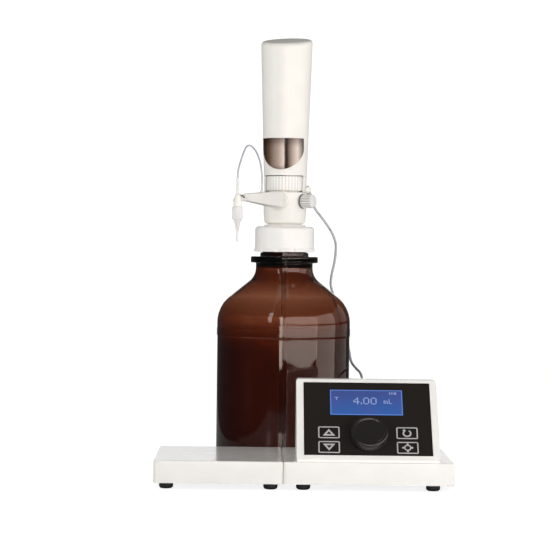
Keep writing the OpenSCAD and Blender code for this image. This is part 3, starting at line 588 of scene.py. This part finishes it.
def softened(name, node, width, segments=2):
    """A copy of a CAD piece with its sharp edges rounded; it stands for that piece."""
    sharp = 32
    row = next(r for r in frame["record"]["subparts"] if r["node"] == node)
    bm = bmesh.new()
    bm.from_mesh(frame["nodes"][node].data)
    bm.transform(Matrix.Scale(1 / MM, 4))
    bmesh.ops.remove_doubles(bm, verts=bm.verts, dist=0.002)
    bmesh.ops.dissolve_limit(
        bm, angle_limit=math.radians(0.6), verts=bm.verts, edges=bm.edges,
        use_dissolve_boundaries=False,
    )
    piece = finish_piece(name, bm, AT_TABLE, row["material_slot"], [node], sharp=sharp)
    rounding = piece.modifiers.new("edges", "BEVEL")
    rounding.width = width * MM
    rounding.segments = segments
    rounding.limit_method = "ANGLE"
    rounding.angle_limit = math.radians(sharp)


# ---------------------------------------------------------------- bottle and collar


def make_bottle():
    threads = []
    for i in range(3):
        z = 205.2 + 4 * i
        threads += [(21, z - 1.3, 0.3), (22.5, z - 0.6, 0.3), (22.5, z + 0.6, 0.3), (21, z + 1.3, 0.3)]
    # The points without a rounding keep the long wall's shading upright beside its roundings.
    outside = [(0, 1.6), (40, 1.6, 6), (46, 0, 2), (62.5, 0, 6), (62.5, 9), (62.5, 121.5)]
    outside += [(62.5, 123.4, 0.6), (62.9, 125, 0.6), (62.9, 126), (62.9, 135.8)]
    outside += [(62.9, 151.9, 32), (26.9, 180.53, 16)]
    outside += [(26.9, 193, 0.8), (31.8, 193, 1.3), (31.8, 199, 1.3), (22.8, 199, 0.8)]
    outside += [(22.8, 202.6, 0.5), (21, 202.6)] + threads + [(21, 217, 1), (17.5, 217, 1)]
    inside = [(17.5, 195, 4), (24.3, 190, 4), (24.4, 179.5, 15), (61.8, 151.7, 31), (58.7, 112, 120)]
    inside += [(58.5, 5, 6), (0, 5)]
    bm = bmesh.new()
    turned(bm, rounded(outside + inside, 4), 160)
    finish_piece("bottle_glass", bm, AT_BOTTLE, "amber_glass", ["amber_bottle"], sharp=60)


def make_nut():
    """The screw collar, with notches round its flared skirt."""
    outline = [(22.9, 203.4), (29, 203.4, 0.5), (29, 205.2, 0.6), (28, 207, 1), (27.8, 227.3, 3.2)]
    outline += [(19.4, 227.3, 0.3), (19.4, 228.9, 0.5), (16.15, 228.9), (16.15, 223), (22.9, 223)]
    notch_every, notch_half_turn, notch_out, notch_top = 30, 3.2, 27.9, 207.6
    bm = bmesh.new()
    for vert in turned(bm, rounded(outline), 240):
        turn = math.degrees(math.atan2(vert.co.y, vert.co.x)) % notch_every - notch_every / 2
        out = math.hypot(vert.co.x, vert.co.y)
        if vert.co.z < notch_top and out > notch_out and abs(turn) < notch_half_turn:
            vert.co.x *= notch_out / out
            vert.co.y *= notch_out / out
    finish_piece("nut_collar", bm, AT_BOTTLE, "white_collar", ["bottle_nut"], "bottle_nut_turning")


make_bottle()
make_nut()


# ---------------------------------------------------------------- valve block, arm and tip

# The arm's ends: distance from the bottle's axis, half the width and half the height
ARM_ROOT = (23, 6.8, 7.65)
ARM_END = (122, 2.7, 3.1)
ELBOW_RADIUS = 8
AT_TIP = Matrix.Translation((0, -TIP_OUT, 0))


def make_valve_body():
    """The block, with the round boss that the arm plugs into."""
    outline = [(0, 219), (20, 219), (20, 222.6), (16, 222.6), (16, 229.8, 0.4), (19.2, 229.8, 3)]
    outline += [(20.2, 240.5), (20.2, 259.5, 0.8), (14.8, 259.5, 0.4), (14.8, 267.4)]
    outline += [(12.6, 267.4), (12.6, 258), (0, 258)]
    bm = bmesh.new()
    turned(bm, rounded(outline), 128)
    boss = [(0, 8), (9, 8), (9, 23, 0.9), (0, 23)]
    turned(bm, rounded(boss), 64, outward(-ARM_TURN, BOSS_Z))
    finish_piece("valve_body", bm, AT_BOTTLE, "ivory_housing", ["valve_block"])


def make_valve_knob():
    """The fluted knob of the recirculation valve, and a dark grey ring under it that is painted shade in
    the gap at its root.
    """
    at = outward(VALVE_TURN, VALVE_Z)
    outline = [(0, 20.6), (5.7, 20.6), (6.5, 21.4, 0.3), (6.5, 32.1, 1.3), (3.6, 32.1, 0.4)]
    outline += [(3.6, 31.5), (0, 31.5)]
    bm = bmesh.new()
    verts = turned(bm, rounded(outline), 128)
    fluted(verts, GRIP_FLUTES, 6.5, 0.75, 21, 31.6)
    bmesh.ops.transform(bm, matrix=at, verts=verts)
    finish_piece(
        "valve_grip", bm, AT_BOTTLE, "white_collar", ["valve_knob"], "recirculation_valve", GRIP
    )
    # A dark grey ring standing for the shade in the gap at the knob's root: painted shade.
    bm = bmesh.new()
    ring = rounded([(4.2, 19.8), (7, 19.8, 0.3), (7, 20.5, 0.3), (4.2, 20.5)])
    turned(bm, ring, 64, at)
    finish_piece("valve_root_shade_ring", bm, AT_BOTTLE, "white_collar", material=GREY_CLIP_AND_PAINTED_SHADE)


def make_arm():
    """A wedge that narrows outward, with a peg at its root."""
    root_out, root_x, root_z = ARM_ROOT
    end_out, end_x, end_z = ARM_END
    middle = -(root_out + end_out) / 2
    bm = bmesh.new()
    verts = box_between(bm, (-root_x, -end_out, ARM_Z - root_z), (root_x, -root_out, ARM_Z + root_z))
    for vert in verts:
        if vert.co.y < middle:
            vert.co.x *= end_x / root_x
            vert.co.z = ARM_Z + (vert.co.z - ARM_Z) * end_z / root_z
    root = [edge for edge in edges_of(verts) if all(vert.co.y > middle for vert in edge.verts)]
    bevelled(bm, root, 2.6, 5)
    long = [edge for edge in bm.edges if edge.calc_length() > end_out / 2]
    end = [edge for edge in bm.edges if all(vert.co.y < middle for vert in edge.verts)]
    bevelled(bm, long + end, 1.0, 4)
    turned(bm, [(0, 16), (4.5, 16), (4.5, 24), (0, 24)], 48, outward(0, ARM_Z))
    finish_piece("arm_wedge", bm, AT_ARM, "ivory_housing", ["discharge_arm"])


def make_tip_holder():
    """An elbow from the arm's end down into the sleeve that holds the tip."""
    bend_out = TIP_OUT - ELBOW_RADIUS
    bm = bmesh.new()
    turned(bm, [(0, 119), (2.9, 119), (2.9, bend_out), (0, bend_out)], 32, outward(0, ELBOW_Z))
    mouth = bmesh.ops.create_circle(bm, cap_ends=False, radius=2.9, segments=32)["verts"]
    turn_verts(bm, mouth, "X", 90)
    bmesh.ops.translate(bm, verts=mouth, vec=(0, -bend_out, ELBOW_Z))
    bmesh.ops.spin(
        bm, geom=mouth + edges_of(mouth), cent=(0, -bend_out, ELBOW_Z - ELBOW_RADIUS),
        axis=(1, 0, 0), angle=math.radians(90), steps=14,
    )
    sleeve = rounded([(0, 243.9), (3.75, 243.9), (3.75, 246, 1.5), (2.5, 254.2, 0.7), (0, 254.2)])
    turned(bm, sleeve, 48, AT_TIP)
    finish_piece("tip_elbow", bm, AT_ARM, "ivory_housing", ["tip_holder"])


def make_tip_clip():
    """A bent grey wire clip beside the sleeve; its dark grey is also painted shade in the notch above
    the elbow.
    """
    bm = bmesh.new()
    hook = bmesh.ops.create_circle(bm, cap_ends=True, radius=0.8, segments=16)["verts"]
    bmesh.ops.translate(bm, verts=hook, vec=(5.2, 0, 0))
    bmesh.ops.spin(
        bm, geom=bm.verts[:] + bm.edges[:] + bm.faces[:], cent=(0, 0, 0), axis=(0, 1, 0),
        angle=math.radians(-150), steps=20,
    )
    bm.transform(Matrix.Translation((1.4, -139, 248.6)) @ rotation("Y", -35))
    finish_piece("tip_clip", bm, AT_ARM, "ivory_housing", material=GREY_CLIP_AND_PAINTED_SHADE)


def make_tip():
    outline = [(0, 213), (1.05, 213, 0.3), (1.05, 222.7), (1.3, 222.7), (3.1, 232), (4.1, 232, 0.3)]
    outline += [(4.65, 233, 0.5), (4.65, 243.2, 0.5), (3.9, 243.9, 0.3), (0, 243.9)]
    bm = bmesh.new()
    turned(bm, rounded(outline), 48, AT_TIP)
    finish_piece("tip_nozzle", bm, AT_ARM, "dosing_plastic", ["dosing_tip"])


make_valve_body()
make_valve_knob()
make_arm()
make_tip_holder()
make_tip_clip()
make_tip()


# ---------------------------------------------------------------- head

CAP_Z = 402.6
CAP_LEAN = 11
CAP_THICK = 4


def head_radius(z):
    """The head widens upward."""
    return 19.9 + 4.5 * (z - 262) / 140


def make_ring():
    outline = [(14.9, 260.9), (17.9, 260.9, 0.5), (17.9, 274.6, 0.5), (14.9, 274.6)]
    bm = bmesh.new()
    fluted(turned(bm, rounded(outline), 288), RING_FLUTES, 18, 0.6, 261.6, 273.9)
    finish_piece("ring_grip", bm, AT_BOTTLE, "white_collar", ["coupling_ring"], "coupling_nut", RING)


def make_cap():
    """The sloping cap: the head's own cone between two sloping planes, its upper edge rounded."""
    low, high = 385, 412
    bm = bmesh.new()
    turned(bm, [(0, low), (head_radius(low), low), (head_radius(high), high), (0, high)], 128)
    bmesh.ops.remove_doubles(bm, verts=bm.verts, dist=0.0005)
    up = rotation("X", CAP_LEAN).to_3x3() @ Vector((0, 0, 1))
    for height, keep_below in ((0, True), (-CAP_THICK, False)):
        cut = bmesh.ops.bisect_plane(
            bm, geom=bm.verts[:] + bm.edges[:] + bm.faces[:],
            plane_co=Vector((0, 0, CAP_Z)) + up * height, plane_no=up,
            clear_outer=keep_below, clear_inner=not keep_below,
        )["geom_cut"]
        rim = [item for item in cut if isinstance(item, bmesh.types.BMEdge)]
        bmesh.ops.edgeloop_fill(bm, edges=rim)
        if keep_below:
            bevelled(bm, rim, 3.4, 6)
    finish_piece("head_cap", bm, AT_HEAD, "ivory_housing", ["top_cap"])


make_ring()
make_cap()
softened("front_shell", "front_housing", 0.3)
softened("rear_shell", "rear_housing", 0.35)


# ---------------------------------------------------------------- console

# Places on the console's face: across it from its middle and up it from its lower edge
KEYS = {"up": (-33.9, 29.4), "down": (-33.9, 13.5), "clear": (33.9, 29.4), "select": (33.9, 13.5)}
KNOB_AT = (1, 25.6)
DISPLAY_CORNER = (-32.4, 77.4)
DISPLAY_MIDDLE = (-0.5, 63.3)

# Marks start just under the faces of the keys and of the display's lens
MARK_FACE = 0.39
DOT_FACE = -0.08
LINE_FACE = -0.09
PRINT_THICK = 0.04


def mark(key, kind, bm, up=0):
    """A thin printed mark on a key, moved up the slope from the key's middle."""
    x, middle = KEYS[key]
    thickened(bm, 0.06)
    at = on_slope(x, middle + up, MARK_FACE)
    finish_piece(f"{key}_{kind}", bm, at, "key_black", body=f"{key}_key", material=MARK)


def triangle(size, turn, line):
    """The outline of a triangle, as a line of some width."""
    bm = bmesh.new()
    verts = bmesh.ops.create_circle(bm, cap_ends=True, radius=size, segments=3)["verts"]
    turn_verts(bm, verts, "Z", turn)
    bmesh.ops.scale(bm, verts=verts, vec=(1.15, 0.9, 1))
    return to_frame(bm, line)


def arc_band(inner, outer, start, sweep):
    """A flat band of a circle, from one angle through another."""
    bm = bmesh.new()
    ends = [bm.verts.new((inner, 0, 0)), bm.verts.new((outer, 0, 0))]
    edge = bm.edges.new(ends)
    bmesh.ops.spin(
        bm, geom=ends + [edge], cent=(0, 0, 0), axis=(0, 0, 1), angle=math.radians(sweep), steps=32,
    )
    turn_verts(bm, bm.verts, "Z", start)
    return bm


def diamond(bm, at, size):
    """A flat square on its point, added to a shape."""
    verts = square(bm, size)
    turn_verts(bm, verts, "Z", 45)
    bmesh.ops.translate(bm, verts=verts, vec=(*at, 0))


def make_keys():
    """The frame on each key, and its sign: two triangles, an open arrow and a ring with ticks."""
    for key in KEYS:
        mark(key, "frame", to_frame(flat_shape(18.6, 12.7, 1.5), 1.05))
    mark("up", "sign", triangle(5.4, 0, 1.5), -1.1)
    mark("down", "sign", triangle(5.4, 180, 1.5), 1.1)
    arrow = arc_band(2.5, 3.9, 120, 300)
    diamond(arrow, (-2.4, 3.0), 2.2)
    mark("clear", "sign", arrow, -0.2)
    target = arc_band(2.1, 3.2, 0, 360)
    for at in ((3.9, 0), (-3.9, 0), (0, 3.9), (0, -3.9)):
        diamond(target, at, 1.7)
    mark("select", "sign", target, 0.1)


def make_console_knob():
    outline = [(3, 0.4), (17.3, 0.4, 0.4), (17.3, 1.6, 0.4), (15.9, 8.2, 1.5), (13.8, 8.2, 0.4)]
    outline += [(12.6, 7.5, 1), (0, 7.5), (0, 6.4), (3, 6.4)]
    bm = bmesh.new()
    fluted(turned(bm, rounded(outline), 320), 40, 16.9, 0.5, 0.9, 6.6)
    at = on_slope(*KNOB_AT, 0)
    finish_piece("knob_turning", bm, at, "knob_black", ["console_knob"], "control_knob")


# The signs of the readout in dots: digits, the unit, a small letter and a row of bars
DOTS = {
    "4": ("...#.", "..##.", ".#.#.", "#..#.", "#####", "...#.", "...#."),
    "0": (".###.", "#...#", "#...#", "#...#", "#...#", "#...#", ".###."),
    ".": (".", ".", ".", ".", ".", "#", "#"),
    "m": (".....", ".....", "##.#.", "#.#.#", "#.#.#", "#.#.#", "#.#.#"),
    "L": ("#...", "#...", "#...", "#...", "#...", "#...", "####"),
    "t": ("#####", "..#..", "..#..", "..#..", "..#..", ".....", "....."),
    "b": ("#.#.#.##", "#.#.#.##", "#.#.#.##"),
}
# Each text, its place right of and below the display's corner, and the pitch of its dots
READINGS = (("4.00", 21, 9.2, 1.08), ("mL", 47.5, 10.6, 0.74), ("t", 4.4, 8.6, 0.7), ("b", 52.5, 3, 0.8))
DOT_SHARE = 0.92


def lit_dots(text):
    """The columns and rows of a text's lit dots."""
    left = 0
    for sign in text:
        for row, line in enumerate(DOTS[sign]):
            for column, dot in enumerate(line):
                if dot == "#":
                    yield left + column, row
        left += len(DOTS[sign][0]) + 1


def make_readout():
    """The reading in dots, a unit and small signs, and the thin bright line round the display."""
    corner_x, corner_up = DISPLAY_CORNER
    bm = bmesh.new()
    for text, left, top, pitch in READINGS:
        for column, row in lit_dots(text):
            spot = (corner_x + left + column * pitch, corner_up - top - row * pitch, DOT_FACE)
            bmesh.ops.translate(bm, verts=square(bm, pitch * DOT_SHARE), vec=spot)
    thickened(bm, PRINT_THICK)
    finish_piece("readout_dots", bm, AT_SLOPE, "lens_blue", material=DISPLAY_DOT)
    bm = to_frame(flat_shape(63, 27.4, 0.3, (*DISPLAY_MIDDLE, LINE_FACE)), 0.55)
    thickened(bm, PRINT_THICK)
    finish_piece("readout_edge", bm, AT_SLOPE, "lens_blue", material=DISPLAY_LINE)


softened("console_case", "console_shell", 0.6, 3)
make_keys()
make_console_knob()
make_readout()


# ---------------------------------------------------------------- cords

# The routes are part.scad's own points, in millimetres.
SIGNAL_ROUTE = [
    (11, 76, 247), (14, 77.5, 242), (19, 79.5, 236), (27, 83, 225), (31.5, 86, 216),
    (33, 88, 208), (32, 89, 195), (29.5, 89, 183), (28.5, 90, 173), (30.5, 92, 165),
    (34, 95.5, 157), (38, 99, 148), (41, 101, 138), (43.5, 100, 128), (45.5, 95, 118),
    (47, 86, 108), (48.5, 75, 99.5), (52, 63, 94.5), (55.5, 50, 91), (57, 38, 86.5),
    (57.5, 28, 79), (57.5, 19, 69), (57.5, 10, 58), (57.5, 0, 49), (57.5, -10, 44),
    (57.5, -17, 42.2), (57.5, -22, 42),
]
# Distance from the bottle's axis and height, in the arm's plane
DELIVERY_ROUTE = [
    (71, 260), (71, 266), (72, 273), (74.5, 280), (79.5, 287), (87.5, 293), (97, 297),
    (107, 299), (116, 298), (124, 293.5), (131, 287), (137, 280), (140.5, 274.5), (141, 269.5),
]
CABLE_D = 2.4
TUBE_D = 1.7


def smooth_point(points, i, t):
    """The same curve through the points as part.scad's cords."""
    a, b, c, d = points[max(i - 1, 0)], points[i], points[i + 1], points[min(i + 2, len(points) - 1)]
    bend = (2 * a - 5 * b + 4 * c - d) * t**2
    twist = (3 * b - a - 3 * c + d) * t**3
    return 0.5 * (2 * b + (c - a) * t + bend + twist)


def swept_cord(name, route, diameter, slot, node):
    """A round cord along a route: one open spline, its length measured on its own points."""
    points = [Vector(p) for p in route]
    line = [smooth_point(points, i, k / 4) for i in range(len(points) - 1) for k in range(4)]
    line.append(points[-1])
    curve = bpy.data.curves.new(name, "CURVE")
    curve.dimensions = "3D"
    curve.bevel_depth = diameter / 2 * MM
    curve.bevel_resolution = 5
    curve.use_fill_caps = True
    spline = curve.splines.new("POLY")
    spline.points.add(len(line) - 1)
    for point, p in zip(spline.points, line):
        point.co = (*(p * MM), 1)
    spline.use_smooth = True
    curve.materials.append(FINISHES[slot])
    cord = bpy.data.objects.new(name, curve)
    bpy.context.scene.collection.objects.link(cord)
    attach(cord, BODY)
    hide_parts(node)
    length = sum((b - a).length for a, b in zip(line, line[1:])) * MM
    line[0] * MM


def delivery_points():
    return [AT_ARM @ (Vector((0, -r, z)) * MM) / MM for r, z in DELIVERY_ROUTE]


swept_cord(
    "signal_cable_sheath", SIGNAL_ROUTE, CABLE_D, "cable_grey", "signal_cable"
)
swept_cord("delivery_tube_line", delivery_points(), TUBE_D, "thin_tube", "delivery_tube")


# ---------------------------------------------------------------- stage, in metres

# The table's left, right, front and back edges
TABLE = (-0.34, 0.36, -0.65, 2.6)


def make_card(name, material, size, middle, lean=0):
    """A flat piece of the stage that lies flat or leans up by an angle."""
    bm = bmesh.new()
    verts = square(bm, 1)
    bmesh.ops.scale(bm, verts=verts, vec=(*size, 1))
    turn_verts(bm, verts, "X", lean)
    bmesh.ops.translate(bm, verts=verts, vec=middle)
    mesh = bpy.data.meshes.new(name)
    bm.to_mesh(mesh)
    bm.free()
    mesh.materials.append(material)
    card = bpy.data.objects.new(name, mesh)
    bpy.context.scene.collection.objects.link(card)


def make_floor():
    """A white table that keeps the object's shadow, seen by the camera and through glass."""
    shader = Shader("floor_white")
    lit = shader.node("BsdfDiffuse", None, {"Color": rgba(0.4, 0.4, 0.4)})
    strength = shader.ray("Camera") * 0.86 + shader.ray("Transmission") * 0.95
    glow = shader.glow(rgba(1, 1, 1), strength)
    material = shader.surface(shader.node("AddShader", None, {0: lit, 1: glow}))
    left, right, front, back = TABLE
    middle = ((left + right) / 2, (front + back) / 2, 0)
    make_card("floor", material, (right - left, back - front), middle)


def make_backdrop():
    """A low white card far behind, which the glossy tops of the bases mirror."""
    shader = Shader("backdrop_white")
    material = shader.surface(shader.glow(rgba(1, 1, 1), 1.12))
    make_card("backdrop", material, (1.4, 0.8), (0, 3.0, 0.4), 90)


def make_world():
    """White where it is seen, nearly dark in mirrors, and otherwise a room that dims upward."""
    world = bpy.data.worlds.new("studio")
    bpy.context.scene.world = world
    world.use_nodes = True
    shader = Shader("studio", world.node_tree)
    rays = {0: shader.ray("Camera"), 1: shader.ray("Transmission")}
    seen = shader.node("Math", {"operation": "MAXIMUM"}, rays)
    glossy = shader.ray("Glossy")
    up = shader.node("SeparateXYZ", None, {0: shader.node("TexCoord")}, output=2)
    room = shader.step(up, 0.1, 0.9, 0.72, 0.34)
    unseen = room * (1 - glossy) + glossy * 0.06
    strength = seen + unseen * (1 - seen)
    background = shader.node("Background", None, {"Color": rgba(1, 1, 1), "Strength": strength})
    shader.node("OutputWorld", None, {"Surface": background})


def soft_lamp(name, at, aim, size, power, colour=(1, 1, 1), lights=True, mirrored=True):
    """A soft box that the camera doesn't see; it lights the object, is mirrored in it, or both."""
    data = bpy.data.lights.new(name, "AREA")
    data.shape = "RECTANGLE"
    data.size, data.size_y = size
    data.energy = power
    data.color = colour
    lamp = bpy.data.objects.new(name, data)
    bpy.context.scene.collection.objects.link(lamp)
    lamp.visible_camera = False
    lamp.visible_diffuse = lights
    lamp.visible_glossy = mirrored
    lamp.location = at
    lamp.rotation_euler = (Vector(aim) - Vector(at)).to_track_quat("-Z", "Y").to_euler()


def make_lamps():
    """The lamps that light the object."""
    aim = (0, 0, 0.2)
    soft_lamp("front_right", (1.26, -2.27, 0.485), aim, (3.1, 1.83), 14, mirrored=False)
    soft_lamp("right", (2.36, 0.35, 0.5), aim, (3.8, 1.9), 17, mirrored=False)
    soft_lamp("left", (-2.4, -1.0, 0.4), aim, (1.2, 1.2), 16, mirrored=False)
    soft_lamp("front_left", (-1.45, -3.1, 1.5), aim, (0.4, 2.1), 10)
    soft_lamp("front_low", (0.4, -0.8, 0.06), (0, 0, 0.1), (0.9, 0.07), 2.7, mirrored=False)


def make_mirrored_boxes():
    """What the glossy pieces mirror: boxes in two parts, with a dark gap between them."""
    warm = (1, 0.84, 0.74)
    gap_low, gap_high, top = 0.08, 0.22, 1.4
    for name, x, y, width, bottom, power in (
        ("front", 1.26, -2.27, 3.1, -0.07, 34),
        ("middle", 2.55, -0.5, 2.0, -0.25, 13),
        ("side", 2.25, 1.3, 2.0, -0.25, 2.5),
        ("edge", -0.24, -2.6, 0.26, -0.07, 5.5),
    ):
        for low, high in ((bottom, gap_low), (gap_high, top)):
            height = high - low
            at, aim = (x, y, (low + high) / 2), (0, 0, (low + high) / 2)
            soft_lamp("mirrored_" + name, at, aim, (width, height), power * height, warm, lights=False)


make_floor()
make_backdrop()
make_world()
make_lamps()
make_mirrored_boxes()

bpy.context.scene.view_settings.view_transform = "Standard"
